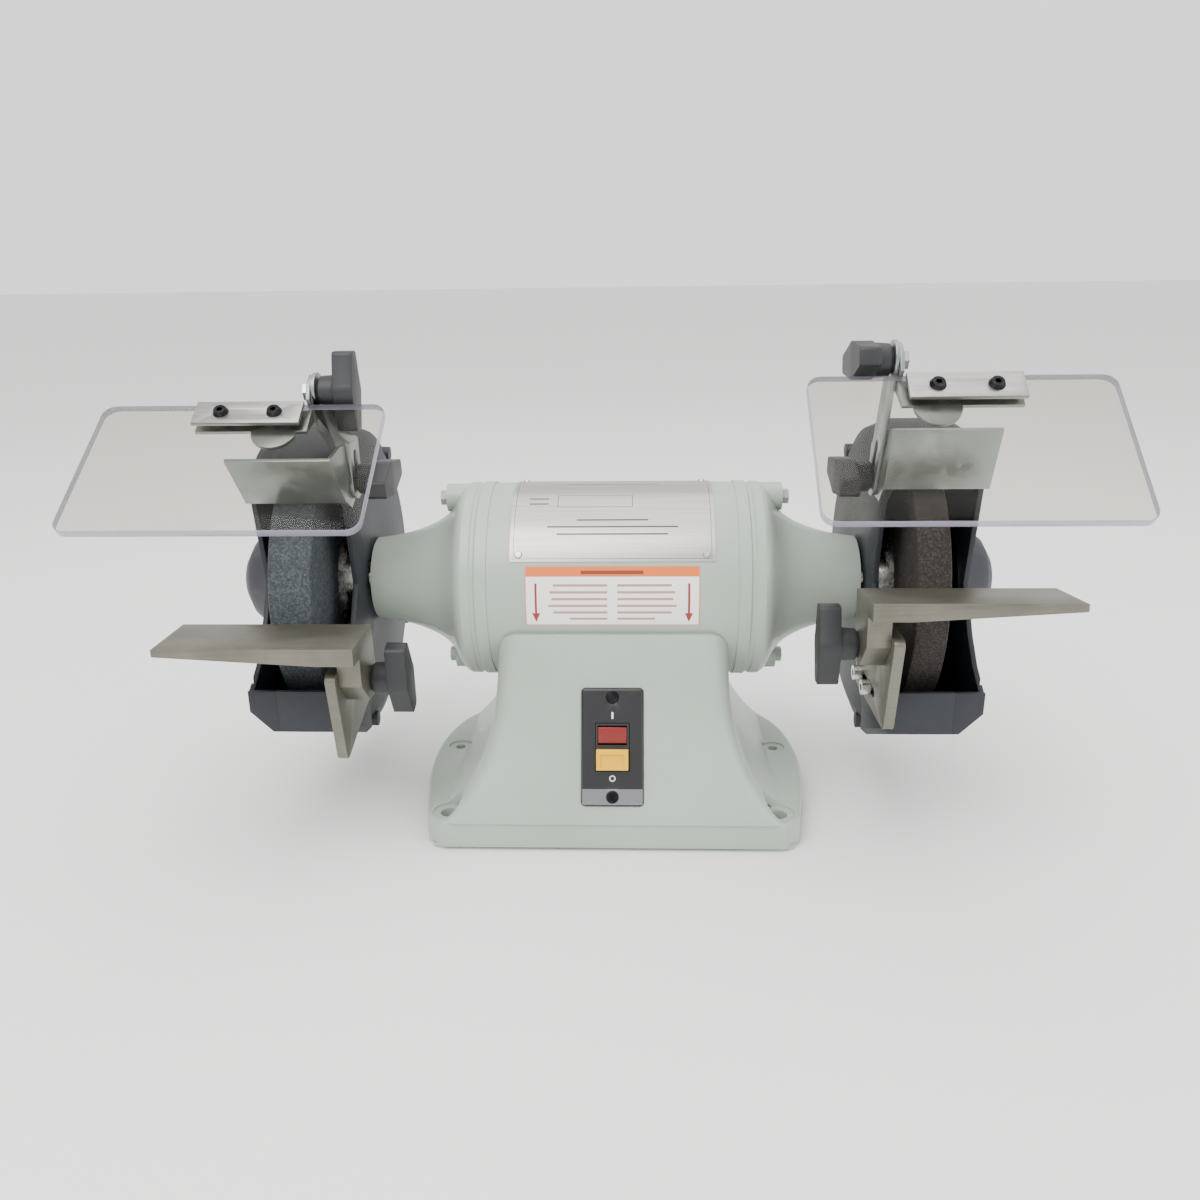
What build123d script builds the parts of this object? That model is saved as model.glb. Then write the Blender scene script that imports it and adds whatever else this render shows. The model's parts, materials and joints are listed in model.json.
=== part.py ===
"""Two-wheel bench grinder: cast pedestal base, motor with flared end bells, wheel guards,
adjustable tool rests, spark arrestors and clear eye shields. Millimetres, +Z up."""
from build123d import *
import math
import os

os.makedirs("parts", exist_ok=True)

# Driving sizes
SPINDLE_Z = 144.5
MOTOR_R = 63.0
MOTOR_HALF = 77.0
NECK_X = 157.0
NECK_R = 27.0
BELL_WALL = 6.0
WHEEL_R = 89.0
WHEEL_X = 176.0
LEFT_WHEEL_W = 25.4
RIGHT_WHEEL_W = 19.0
FLANGE_R = 34.0
FLANGE_T = 6.0
SHAFT_R = 8.5
ARBOR_R = 7.94
GUARD_X = 159.0
GUARD_OUT_X = 217.0
GUARD_SEAM_X = 200.0
GUARD_R = 103.0
GUARD_WALL = 3.0
BASE_W = 230.0
BASE_FRONT = -104.0
BASE_BACK = 76.0
FLANGE_TOP = 20.0
PAD_H = 2.5
CAST_WALL = 6.0
FACE_TOP_Y = -64.0
FACE_TOP_Z = 126.5
FACE_LEAN = 21.0
BEARING_R = 20.0
BEARING_W = 12.0
BEARING_X = 138.0
RUN_GAP = 0.05
FIT_GAP = 0.1
SHEET_T = 2.2
STUD_R = 3.0
REST_W = 112.0
REST_D = 42.0
REST_T = 10.0
REST_END_T = 4.5
REST_X = 139.5
REST_RISE = 31.0
LUG_T = 12.0
BRACKET_T = 6.0
SHIELD_W = 165.0
SHIELD_L = 96.0
SHIELD_T = 4.5
SHIELD_GAP = 13.2
KNOB_SPAN = 46.0
KNOB_HUB_R = 9.0
KNOB_HUB_L = 9.0
KNOB_HEAD_T = 13.0
PLATE_W = 37.5
PLATE_L = 71.0
SWITCH_SCREWS = 60.3

# Adjustable places at rest, as (back, up) from the spindle
RIGHT_REST_AT = (-103.0, -9.0)
LEFT_REST_AT = (-101.0, -31.0)
RIGHT_REST_TILT = -6.0
LEFT_REST_TILT = 0.0
ARM_LOW = (-45.0, 76.0)
RIGHT_ARM_TOP = (-72.3, 145.4)
LEFT_ARM_TOP = (-48.7, 128.6)
LEFT_ARM_JOG = 17.0
RIGHT_SHIELD_SLOPE = 41.6
LEFT_SHIELD_SLOPE = 35.5
RIGHT_SHIELD_X = 106.5
LEFT_SHIELD_X = 129.5
LEFT_ARRESTOR_LEAN = 20.0


def side_plane(x):
    """Sketch plane across the spindle at x, with local x to the back and local y up."""
    return Plane((x, 0, SPINDLE_Z), x_dir=(0, 1, 0), z_dir=(1, 0, 0))


def around(spot, points, angle=0.0):
    """Points turned by angle and moved to a spot in a side plane."""
    c = math.cos(math.radians(angle))
    n = math.sin(math.radians(angle))
    return [(spot[0] + c * y - n * z, spot[1] + n * y + c * z) for y, z in points]


def save(builder, name):
    builder.part.label = name
    export_step(builder.part, f"parts/{name}.step")


# Motor housing: a plain tube between the two end bells
with BuildPart() as motor_housing:
    with BuildSketch(side_plane(-MOTOR_HALF)):
        Circle(MOTOR_R)
        Circle(MOTOR_R - 4.5, mode=Mode.SUBTRACT)
    extrude(amount=2 * MOTOR_HALF)
save(motor_housing, "motor_housing")


# End bell: ribbed rim, rounded shoulder and a concave flare down to the bearing neck,
# with a bolt lug at the top and one at the bottom
LUG_X = MOTOR_HALF + 31
LUG_R = MOTOR_R - 8.5


def make_bell(turn):
    with BuildPart() as bell:
        with BuildSketch(Plane.XZ.offset(0)):
            with BuildLine():
                rim = Polyline(
                    (MOTOR_HALF, SPINDLE_Z + MOTOR_R - 4.7),
                    (MOTOR_HALF, SPINDLE_Z + MOTOR_R + 0.8),
                    (MOTOR_HALF + 7, SPINDLE_Z + MOTOR_R + 0.8),
                    (MOTOR_HALF + 8, SPINDLE_Z + MOTOR_R - 0.4),
                    (MOTOR_HALF + 10, SPINDLE_Z + MOTOR_R - 0.4),
                    (MOTOR_HALF + 11, SPINDLE_Z + MOTOR_R + 0.4),
                    (MOTOR_HALF + 16, SPINDLE_Z + MOTOR_R + 0.4),
                )
                flare = Spline(
                    rim @ 1,
                    (MOTOR_HALF + 24, SPINDLE_Z + 54),
                    (MOTOR_HALF + 33, SPINDLE_Z + 42.5),
                    (MOTOR_HALF + 50, SPINDLE_Z + 33.5),
                    (NECK_X, SPINDLE_Z + NECK_R),
                    tangents=((1, -0.35), (1, -0.12)),
                )
                Polyline(
                    flare @ 1,
                    (NECK_X, SPINDLE_Z + SHAFT_R + 0.6),
                    (BEARING_X + BEARING_W, SPINDLE_Z + SHAFT_R + 0.6),
                    (BEARING_X + BEARING_W, SPINDLE_Z + BEARING_R),
                    (BEARING_X - 8, SPINDLE_Z + BEARING_R),
                    (BEARING_X - 12, SPINDLE_Z + BEARING_R + 4),
                    (MOTOR_HALF + 33, SPINDLE_Z + 35),
                    (MOTOR_HALF + 20, SPINDLE_Z + 50),
                    (MOTOR_HALF + 14, SPINDLE_Z + MOTOR_R - 4.7),
                    rim @ 0,
                )
            make_face()
        revolve(axis=Axis((0, 0, SPINDLE_Z), (1, 0, 0)))
        with BuildSketch(side_plane(MOTOR_HALF + 12)):
            for side in (1, -1):
                with Locations((0, side * LUG_R)):
                    Circle(9)
        extrude(amount=LUG_X - MOTOR_HALF - 12)
        with BuildSketch(side_plane(MOTOR_HALF)):
            for side in (1, -1):
                with Locations((0, side * LUG_R)):
                    Circle(2.6)
        extrude(amount=LUG_X - MOTOR_HALF, mode=Mode.SUBTRACT)
    if turn:
        return mirror(bell.part, about=Plane.YZ)
    return bell.part


with BuildPart() as right_end_bell:
    add(make_bell(False))
save(right_end_bell, "right_end_bell")

with BuildPart() as left_end_bell:
    add(make_bell(True))
save(left_end_bell, "left_end_bell")

# Hex-headed bolts through the lugs
with BuildPart() as end_bell_bolts:
    for end in (1, -1):
        for side in (1, -1):
            with BuildSketch(side_plane(end * LUG_X)):
                with Locations((0, side * LUG_R)):
                    RegularPolygon(5, 6)
            extrude(amount=end * 4.5)
            with BuildSketch(side_plane(end * LUG_X)):
                with Locations((0, side * LUG_R)):
                    Circle(2.5)
            extrude(amount=-end * (LUG_X - MOTOR_HALF - 2))
save(end_bell_bolts, "end_bell_bolts")

# Curved nameplate and the rotation label below it, wrapped on the housing
RIVET_X = 57.0
RIVET_ANGLES = (29, 97)


def wrapped_band(inner, thick, half_width, low, high):
    with BuildPart() as band:
        with BuildSketch(side_plane(-half_width)):
            with BuildLine():
                a0 = 180 - high
                arc_in = CenterArc((0, 0), inner, a0, high - low)
                arc_out = CenterArc((0, 0), inner + thick, a0, high - low)
                Line(arc_in @ 0, arc_out @ 0)
                Line(arc_in @ 1, arc_out @ 1)
            make_face()
        extrude(amount=2 * half_width)
    return band.part


with BuildPart() as nameplate:
    add(wrapped_band(MOTOR_R + 0.02, 0.6, 62.5, 25, 101))
    for x in (-RIVET_X, RIVET_X):
        for angle in RIVET_ANGLES:
            t = math.radians(angle)
            spot = Plane(
                (x, -MOTOR_R * math.cos(t), SPINDLE_Z + MOTOR_R * math.sin(t)),
                x_dir=(1, 0, 0),
                z_dir=(0, -math.cos(t), math.sin(t)),
            )
            with Locations(spot):
                Cylinder(1.3, 4, mode=Mode.SUBTRACT)
save(nameplate, "nameplate")

with BuildPart() as nameplate_rivets:
    for x in (-RIVET_X, RIVET_X):
        for angle in RIVET_ANGLES:
            t = math.radians(angle)
            spot = Plane(
                (x, -MOTOR_R * math.cos(t), SPINDLE_Z + MOTOR_R * math.sin(t)),
                x_dir=(1, 0, 0),
                z_dir=(0, -math.cos(t), math.sin(t)),
            )
            with BuildSketch(spot.offset(0.04)):
                Circle(1.2)
            extrude(amount=0.8)
            with BuildSketch(spot.offset(0.7)):
                Circle(2.4)
            extrude(amount=1.0, taper=30)
save(nameplate_rivets, "nameplate_rivets")

with BuildPart() as rotation_label:
    add(wrapped_band(MOTOR_R + 0.02, 0.25, 53, -11, 22.5))
save(rotation_label, "rotation_label")

# Stator, windings and the two bearing outer rings
with BuildPart() as stator_core:
    with BuildSketch(side_plane(-32)):
        Circle(MOTOR_R - 4.6)
        Circle(36, mode=Mode.SUBTRACT)
        with PolarLocations(43, 18):
            SlotCenterToCenter(8, 4, mode=Mode.SUBTRACT)
    extrude(amount=64)
save(stator_core, "stator_core")

with BuildPart() as stator_windings:
    for end in (1, -1):
        with BuildSketch(side_plane(end * 32.1)):
            Circle(52)
            Circle(39, mode=Mode.SUBTRACT)
        coil = extrude(amount=end * 18)
save(stator_windings, "stator_windings")

with BuildPart() as bearing_outer_rings:
    for end in (1, -1):
        with BuildSketch(side_plane(end * BEARING_X)):
            Circle(BEARING_R - 0.02)
            Circle(BEARING_R - 4, mode=Mode.SUBTRACT)
        extrude(amount=end * (BEARING_W - 0.05))
        with BuildSketch(side_plane(end * (BEARING_X + 1))):
            Circle(BEARING_R - 3.9)
            Circle(SHAFT_R + 3.1, mode=Mode.SUBTRACT)
        extrude(amount=end * 1)
save(bearing_outer_rings, "bearing_outer_rings")

# Rotor: shaft, core, inner rings, wheels, clamping flanges and nuts
LEFT_END = WHEEL_X + LEFT_WHEEL_W + FLANGE_T
RIGHT_END = WHEEL_X + RIGHT_WHEEL_W + FLANGE_T
with BuildPart() as shaft:
    with BuildSketch(Plane.XZ):
        with BuildLine():
            Polyline(
                (-LEFT_END - 18, SPINDLE_Z),
                (-LEFT_END - 18, SPINDLE_Z + ARBOR_R - 1),
                (-LEFT_END - 17, SPINDLE_Z + ARBOR_R),
                (-WHEEL_X + FLANGE_T, SPINDLE_Z + ARBOR_R),
                (-WHEEL_X + FLANGE_T, SPINDLE_Z + SHAFT_R),
                (-BEARING_X, SPINDLE_Z + SHAFT_R),
                (-BEARING_X, SPINDLE_Z + SHAFT_R + 2),
                (BEARING_X, SPINDLE_Z + SHAFT_R + 2),
                (BEARING_X, SPINDLE_Z + SHAFT_R),
                (WHEEL_X - FLANGE_T, SPINDLE_Z + SHAFT_R),
                (WHEEL_X - FLANGE_T, SPINDLE_Z + ARBOR_R),
                (RIGHT_END + 17, SPINDLE_Z + ARBOR_R),
                (RIGHT_END + 18, SPINDLE_Z + ARBOR_R - 1),
                (RIGHT_END + 18, SPINDLE_Z),
                close=True,
            )
        make_face()
    revolve(axis=Axis((0, 0, SPINDLE_Z), (1, 0, 0)))
save(shaft, "shaft")

with BuildPart() as rotor_core:
    with BuildSketch(side_plane(-32)):
        Circle(35.5)
        Circle(SHAFT_R + 2.02, mode=Mode.SUBTRACT)
    extrude(amount=64)
save(rotor_core, "rotor_core")

with BuildPart() as bearing_inner_rings:
    for end in (1, -1):
        with BuildSketch(side_plane(end * (BEARING_X + 0.05))):
            Circle(SHAFT_R + 3.05)
            Circle(SHAFT_R + 0.02, mode=Mode.SUBTRACT)
        extrude(amount=end * (BEARING_W - 0.5))
save(bearing_inner_rings, "bearing_inner_rings")


def make_wheel(width):
    with BuildPart() as wheel:
        with BuildSketch(side_plane(WHEEL_X)):
            Circle(WHEEL_R)
            Circle(ARBOR_R + 0.03, mode=Mode.SUBTRACT)
        extrude(amount=width)
        chamfer(wheel.edges().filter_by(GeomType.CIRCLE).sort_by(SortBy.RADIUS)[-2:], 0.6)
    return wheel.part


with BuildPart() as right_wheel:
    add(make_wheel(RIGHT_WHEEL_W))
save(right_wheel, "right_wheel")

with BuildPart() as left_wheel:
    add(mirror(make_wheel(LEFT_WHEEL_W), about=Plane.YZ))
save(left_wheel, "left_wheel")

with BuildPart() as wheel_flanges:
    for x, step in (
        (WHEEL_X, -1),
        (WHEEL_X + RIGHT_WHEEL_W, 1),
        (-WHEEL_X, 1),
        (-WHEEL_X - LEFT_WHEEL_W, -1),
    ):
        with BuildSketch(side_plane(x)):
            Circle(FLANGE_R)
            Circle(ARBOR_R + 0.03, mode=Mode.SUBTRACT)
        extrude(amount=step * FLANGE_T / 2)
        with BuildSketch(side_plane(x + step * FLANGE_T / 2)):
            Circle(FLANGE_R - 14)
            Circle(ARBOR_R + 0.03, mode=Mode.SUBTRACT)
        extrude(amount=step * FLANGE_T / 2)
save(wheel_flanges, "wheel_flanges")

with BuildPart() as spindle_nuts:
    for x, end in ((RIGHT_END, 1), (-LEFT_END, -1)):
        with BuildSketch(side_plane(x)):
            RegularPolygon(13.5, 6)
            Circle(ARBOR_R + 0.02, mode=Mode.SUBTRACT)
        extrude(amount=end * 12)
save(spindle_nuts, "spindle_nuts")


# Base: mounting flange on four pads, sloping pedestal with flared sides, hollow underneath
FACE_S = math.sin(math.radians(FACE_LEAN))
FACE_C = math.cos(math.radians(FACE_LEAN))
SIDE_HOLE_X = 110.0
FRONT_HOLE = (102.0, -91.0)
SWITCH_DOWN = 68.0
CORNER_R = 12.0
PLATE_SPOT = (
    0.0,
    FACE_TOP_Y - FACE_S * SWITCH_DOWN,
    FACE_TOP_Z - FACE_C * SWITCH_DOWN,
)
FACE_PLANE = Plane(PLATE_SPOT, x_dir=(1, 0, 0), z_dir=(0, -FACE_C, FACE_S))


def foot_outline(grow):
    with BuildSketch(Plane.XY) as outline:
        with BuildLine():
            right = Polyline(
                (0, BASE_FRONT - grow),
                (BASE_W / 2 - 10, BASE_FRONT - grow),
                (BASE_W / 2 + grow, BASE_FRONT + 10),
            )
            curve = Spline(
                right @ 1,
                (BASE_W / 2 + 7 + grow, -54),
                (BASE_W / 2 + 8 + grow, 14),
                (BASE_W / 2 - 11 + grow, BASE_BACK - 16 + grow),
                (BASE_W / 2 - 45, BASE_BACK + grow),
            )
            Line(curve @ 1, (0, BASE_BACK + grow))
            mirror(about=Plane.YZ)
        make_face()
    return outline.sketch


def pedestal_form(inset, bottom, top):
    """Lofted pedestal, inset all round for the hollow inside."""
    rows = (
        (FLANGE_TOP - 1, 106, 10),
        (32.5, 93, 10),
        (50.5, 82, 11),
        (77.5, 74, 12),
        (FACE_TOP_Z, 70, 12),
    )
    with BuildPart() as form:
        for z, half, radius in rows:
            z_at = min(max(z, bottom), top)
            front = FACE_TOP_Y - (FACE_TOP_Z - z) * FACE_S / FACE_C + inset
            back = 62 + (FACE_TOP_Z - z) * 0.03 - inset
            with BuildSketch(Plane.XY.offset(z_at)):
                with Locations((0, (front + back) / 2)):
                    RectangleRounded(2 * (half - inset), back - front, radius)
        loft()
    return form.part


def base_hollow():
    with BuildPart() as hollow:
        add(pedestal_form(CAST_WALL + 1, FLANGE_TOP - 1, FACE_TOP_Z - 24))
        with BuildSketch(Plane.XY.offset(0)):
            with Locations((0, -12)):
                Rectangle(170, 140)
        extrude(amount=FLANGE_TOP)
        with BuildSketch(side_plane(-120)):
            Circle(MOTOR_R + CAST_WALL)
        extrude(amount=240, mode=Mode.SUBTRACT)
    return hollow.part


with BuildPart() as base:
    with BuildSketch(Plane.XY.offset(PAD_H)):
        add(foot_outline(0))
    extrude(amount=FLANGE_TOP - PAD_H)
    fillet(base.faces().sort_by(Axis.Z)[-1].edges(), 2.5)
    add(pedestal_form(0, FLANGE_TOP - 1, FACE_TOP_Z))
    # rounded shoulders at the top of the pedestal
    with BuildSketch(Plane.XZ.offset(-90)):
        for x in (-1, 1):
            with Locations((x * (59.2 + CORNER_R), FACE_TOP_Z)):
                Rectangle(2 * CORNER_R, 2 * CORNER_R)
        with Locations((-59.2, FACE_TOP_Z - CORNER_R), (59.2, FACE_TOP_Z - CORNER_R)):
            Circle(CORNER_R, mode=Mode.SUBTRACT)
    extrude(amount=180, mode=Mode.SUBTRACT)
    with BuildSketch(side_plane(-120)):
        Circle(MOTOR_R + 0.02)
    extrude(amount=240, mode=Mode.SUBTRACT)
    # four pads the machine stands on
    for x in (-1, 1):
        with BuildSketch(Plane.XY):
            with Locations((x * 97, -84), (x * 97, 52)):
                RectangleRounded(30, 34, 4)
            with Locations((x * SIDE_HOLE_X, 0)):
                Circle(10)
        extrude(amount=PAD_H + 0.5)
    # hollow for the wiring, closed by a plate
    add(base_hollow(), mode=Mode.SUBTRACT)
    # posts for the closing plate
    with BuildSketch(Plane.XY.offset(5)):
        with Locations((-82, -78), (82, -78), (-82, 54), (82, 54)):
            Rectangle(12, 12)
    extrude(amount=13)
    with BuildSketch(Plane.XY.offset(5)):
        with Locations((-81, -77), (81, -77), (-81, 53), (81, 53)):
            Circle(1.7)
    extrude(amount=9, mode=Mode.SUBTRACT)
    # bolt holes: large at the front corners, small at the sides
    with BuildSketch(Plane.XY):
        with Locations((-FRONT_HOLE[0], FRONT_HOLE[1]), FRONT_HOLE):
            Circle(5.25)
        with Locations((-SIDE_HOLE_X, 0), (SIDE_HOLE_X, 0)):
            Circle(3.3)
    extrude(amount=60, mode=Mode.SUBTRACT)
    with BuildSketch(Plane.XY.offset(FLANGE_TOP - 1)):
        with Locations((-FRONT_HOLE[0], FRONT_HOLE[1]), FRONT_HOLE):
            Circle(10)
        with Locations((-SIDE_HOLE_X, 0), (SIDE_HOLE_X, 0)):
            Circle(8)
    extrude(amount=50, mode=Mode.SUBTRACT)
    # recessed seat and opening for the switch, and its screw holes
    with BuildSketch(FACE_PLANE.offset(-1.2)):
        RectangleRounded(PLATE_W + 1, PLATE_L + 1, 3)
    extrude(amount=20, mode=Mode.SUBTRACT)
    with BuildSketch(FACE_PLANE):
        Rectangle(22, 30.5)
        with Locations((0, SWITCH_SCREWS / 2), (0, -SWITCH_SCREWS / 2)):
            Circle(2.05)
    extrude(amount=-14, mode=Mode.SUBTRACT)
    # cable hole at the back
    with BuildSketch(Plane.XZ.offset(-50)):
        with Locations((0, 40)):
            Circle(8.1)
    extrude(amount=-30, mode=Mode.SUBTRACT)
save(base, "base")

with BuildPart() as base_cover:
    with BuildSketch(Plane.XY.offset(3.4)):
        with Locations((0, -12)):
            RectangleRounded(169, 139, 3)
        with Locations((-81, -77), (81, -77), (-81, 53), (81, 53)):
            Circle(2.0, mode=Mode.SUBTRACT)
        with Locations((-40, -12), (0, -12), (40, -12)):
            SlotOverall(26, 3.5, mode=Mode.SUBTRACT)
    extrude(amount=1.6)
save(base_cover, "base_cover")

with BuildPart() as base_cover_screws:
    for x in (-81, 81):
        for y in (-77, 53):
            with BuildSketch(Plane.XY.offset(1.4)):
                with Locations((x, y)):
                    Circle(3.5)
            extrude(amount=2)
            with BuildSketch(Plane.XY.offset(3.4)):
                with Locations((x, y)):
                    Circle(1.65)
            extrude(amount=8)
save(base_cover_screws, "base_cover_screws")

# Switch: face plate, body, rocker, pull-out safety key and the two screws
ROCKER_Y = 7.3
KEY_Y = -7.2
with BuildPart() as switch_plate:
    with BuildSketch(FACE_PLANE.offset(-1.2)):
        RectangleRounded(PLATE_W, PLATE_L, 2.2)
        Rectangle(20.4, 29.1, mode=Mode.SUBTRACT)
        with Locations((0, SWITCH_SCREWS / 2), (0, -SWITCH_SCREWS / 2)):
            Circle(2.1, mode=Mode.SUBTRACT)
    extrude(amount=2.8)
    chamfer(switch_plate.faces().sort_by(Axis((0, 0, 0), FACE_PLANE.z_dir))[-1].outer_wire().edges(), 0.8)
save(switch_plate, "switch_plate")

with BuildPart() as switch_body:
    with BuildSketch(FACE_PLANE.offset(-30)):
        Rectangle(20, 28.7)
    extrude(amount=32.4)
    with BuildSketch(FACE_PLANE.offset(-4)):
        with Locations((0, ROCKER_Y)):
            Rectangle(17.8, 11.8)
        with Locations((0, KEY_Y)):
            Rectangle(17.8, 12.2)
    extrude(amount=10, mode=Mode.SUBTRACT)
    with BuildSketch(FACE_PLANE.offset(-16)):
        with Locations((0, KEY_Y)):
            Rectangle(8.2, 3.2)
    extrude(amount=13, mode=Mode.SUBTRACT)
    for x in (-6, 6):
        with BuildSketch(FACE_PLANE.offset(-38)):
            with Locations((x, 8), (x, -8)):
                Rectangle(0.8, 6.3)
        extrude(amount=8)
save(switch_body, "switch_body")

ROCKER_AXIS = FACE_PLANE.offset(-0.6)
with BuildPart() as switch_rocker:
    with BuildSketch(Plane(ROCKER_AXIS.origin, x_dir=ROCKER_AXIS.y_dir, z_dir=ROCKER_AXIS.x_dir).offset(-8.7)):
        with BuildLine():
            Polyline(
                (ROCKER_Y - 4.9, 0.2),
                (ROCKER_Y - 4.9, 2.8),
                (ROCKER_Y, 3.2),
                (ROCKER_Y + 4.9, 4.6),
                (ROCKER_Y + 4.9, 0.2),
                (ROCKER_Y, -2.4),
                close=True,
            )
        make_face()
    extrude(amount=17.4)
    with BuildSketch(Plane(ROCKER_AXIS.origin, x_dir=ROCKER_AXIS.y_dir, z_dir=ROCKER_AXIS.x_dir).offset(-8.7)):
        with Locations((ROCKER_Y, 0)):
            Circle(2.4)
    extrude(amount=17.4)
save(switch_rocker, "switch_rocker")

with BuildPart() as safety_key:
    with BuildSketch(FACE_PLANE.offset(-1.5)):
        with Locations((0, KEY_Y)):
            Rectangle(17.2, 11.4)
    extrude(amount=7)
    with BuildSketch(FACE_PLANE.offset(3.2)):
        with Locations((0, KEY_Y)):
            Rectangle(19.4, 12.6)
    extrude(amount=3.6)
    with BuildSketch(FACE_PLANE.offset(5)):
        with Locations((0, KEY_Y - 0.8)):
            Rectangle(14.5, 8)
    extrude(amount=4, mode=Mode.SUBTRACT)
    with BuildSketch(FACE_PLANE.offset(-14)):
        with Locations((0, KEY_Y)):
            Rectangle(8, 3)
    extrude(amount=12.6)
save(safety_key, "safety_key")

with BuildPart() as switch_screws:
    for y in (SWITCH_SCREWS / 2, -SWITCH_SCREWS / 2):
        with BuildSketch(FACE_PLANE.offset(1.6)):
            with Locations((0, y)):
                Circle(3.9)
        extrude(amount=1.7, taper=18)
        with BuildSketch(FACE_PLANE.offset(-11)):
            with Locations((0, y)):
                Circle(2.0)
        extrude(amount=12.7)
        with BuildSketch(FACE_PLANE.offset(2.3)):
            with Locations((0, y)):
                RegularPolygon(1.6, 6)
        extrude(amount=2, mode=Mode.SUBTRACT)
save(switch_screws, "switch_screws")

# Cable gland at the back of the pedestal
with BuildPart() as cord_gland:
    with BuildSketch(Plane.XZ.offset(-58)):
        with Locations((0, 40)):
            Circle(8)
            Circle(4.5, mode=Mode.SUBTRACT)
    extrude(amount=-12)
    with BuildSketch(Plane.XZ.offset(-67)):
        with Locations((0, 40)):
            RegularPolygon(11, 6)
            Circle(4.5, mode=Mode.SUBTRACT)
    extrude(amount=-5)
    with BuildSketch(Plane.XZ.offset(-72)):
        with Locations((0, 40)):
            Circle(8.5)
            Circle(4.5, mode=Mode.SUBTRACT)
    extrude(amount=-10)
save(cord_gland, "cord_gland")


# Wheel guards: a drum with an open mouth at the front, a squared lower lip, and a domed cover
SEAM_ANGLES = (130, 215, 285)
SEAM_SCREW_R = GUARD_R - GUARD_WALL - 4.6
LIP_FRONT = -97.0
LIP_TOP = -42.0
LIP_LOW = -68.0
LIP_BACK = -45.0
LIP_RUN = (0, 52, -25)
LIP_STEP = math.hypot(LIP_RUN[1], LIP_RUN[2]) / LIP_RUN[1]
BOSS_R = 11.0
BRACKET_HOLES = ((-85.0, -43.0), (-62.0, -43.0))


def guard_shell():
    with BuildPart() as shell:
        with BuildSketch(Plane.XZ):
            with BuildLine():
                Polyline(
                    (GUARD_X, SPINDLE_Z),
                    (GUARD_X, SPINDLE_Z + GUARD_R - 18),
                    (GUARD_X + 5.3, SPINDLE_Z + GUARD_R - 5.3),
                    (GUARD_X + 18, SPINDLE_Z + GUARD_R),
                    (GUARD_OUT_X - 9, SPINDLE_Z + GUARD_R),
                    (GUARD_OUT_X - 2, SPINDLE_Z + GUARD_R - 3),
                    (GUARD_OUT_X, SPINDLE_Z + GUARD_R - 9),
                    (GUARD_OUT_X, SPINDLE_Z),
                    close=True,
                )
            make_face()
        revolve(axis=Axis((0, 0, SPINDLE_Z), (1, 0, 0)))
        # squared lip under the wheel, bevelled on its outer lower edge
        with BuildSketch(Plane.XZ.offset(-LIP_FRONT)):
            with BuildLine():
                Polyline(
                    (GUARD_X, SPINDLE_Z + LIP_TOP + 6),
                    (GUARD_OUT_X, SPINDLE_Z + LIP_TOP + 6),
                    (GUARD_OUT_X, SPINDLE_Z + LIP_LOW + 13),
                    (GUARD_OUT_X - 13, SPINDLE_Z + LIP_LOW),
                    (GUARD_X + 4, SPINDLE_Z + LIP_LOW),
                    (GUARD_X, SPINDLE_Z + LIP_LOW + 4),
                    close=True,
                )
            make_face()
        extrude(amount=(LIP_BACK - LIP_FRONT) * LIP_STEP, dir=LIP_RUN)
        # inside of the drum and of the lip
        with BuildSketch(Plane.XZ):
            with BuildLine():
                Polyline(
                    (GUARD_X + GUARD_WALL, SPINDLE_Z),
                    (GUARD_X + GUARD_WALL, SPINDLE_Z + GUARD_R - 18.8),
                    (GUARD_X + 7.4, SPINDLE_Z + GUARD_R - 7.4),
                    (GUARD_X + 18.8, SPINDLE_Z + GUARD_R - GUARD_WALL),
                    (GUARD_OUT_X - 9, SPINDLE_Z + GUARD_R - GUARD_WALL),
                    (GUARD_OUT_X - GUARD_WALL, SPINDLE_Z + GUARD_R - 9),
                    (GUARD_OUT_X - GUARD_WALL, SPINDLE_Z),
                    close=True,
                )
            make_face()
        revolve(axis=Axis((0, 0, SPINDLE_Z), (1, 0, 0)), mode=Mode.SUBTRACT)
        inner_front = LIP_FRONT + GUARD_WALL
        inner_low = LIP_LOW + 1.9
        with BuildSketch(Plane.XZ.offset(-inner_front)):
            with BuildLine():
                Polyline(
                    (GUARD_X + GUARD_WALL, SPINDLE_Z + LIP_TOP + 20),
                    (GUARD_OUT_X - GUARD_WALL, SPINDLE_Z + LIP_TOP + 20),
                    (GUARD_OUT_X - GUARD_WALL, SPINDLE_Z + inner_low + 11.2),
                    (GUARD_OUT_X - 14.2, SPINDLE_Z + inner_low),
                    (GUARD_X + GUARD_WALL, SPINDLE_Z + inner_low),
                    close=True,
                )
            make_face()
        extrude(
            amount=(LIP_BACK - inner_front - 3) * LIP_STEP,
            dir=LIP_RUN,
            mode=Mode.SUBTRACT,
        )
        # mouth open to the front
        with BuildSketch(side_plane(GUARD_X - 5)):
            with BuildLine():
                Polyline(
                    (-48, 10),
                    (-65, -17),
                    (-79, -32),
                    (-93.9, LIP_TOP),
                    (-130, LIP_TOP),
                    (-130, 120),
                    (-70, 120),
                    (-60, 84),
                    close=True,
                )
            make_face()
        extrude(amount=GUARD_OUT_X - GUARD_X + 10, mode=Mode.SUBTRACT)
    return shell.part


def seam_spots(x):
    spots = []
    for angle in SEAM_ANGLES:
        t = math.radians(angle)
        y = -SEAM_SCREW_R * math.cos(t)
        z = SEAM_SCREW_R * math.sin(t)
        spots.append((y, z))
    return spots


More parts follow.
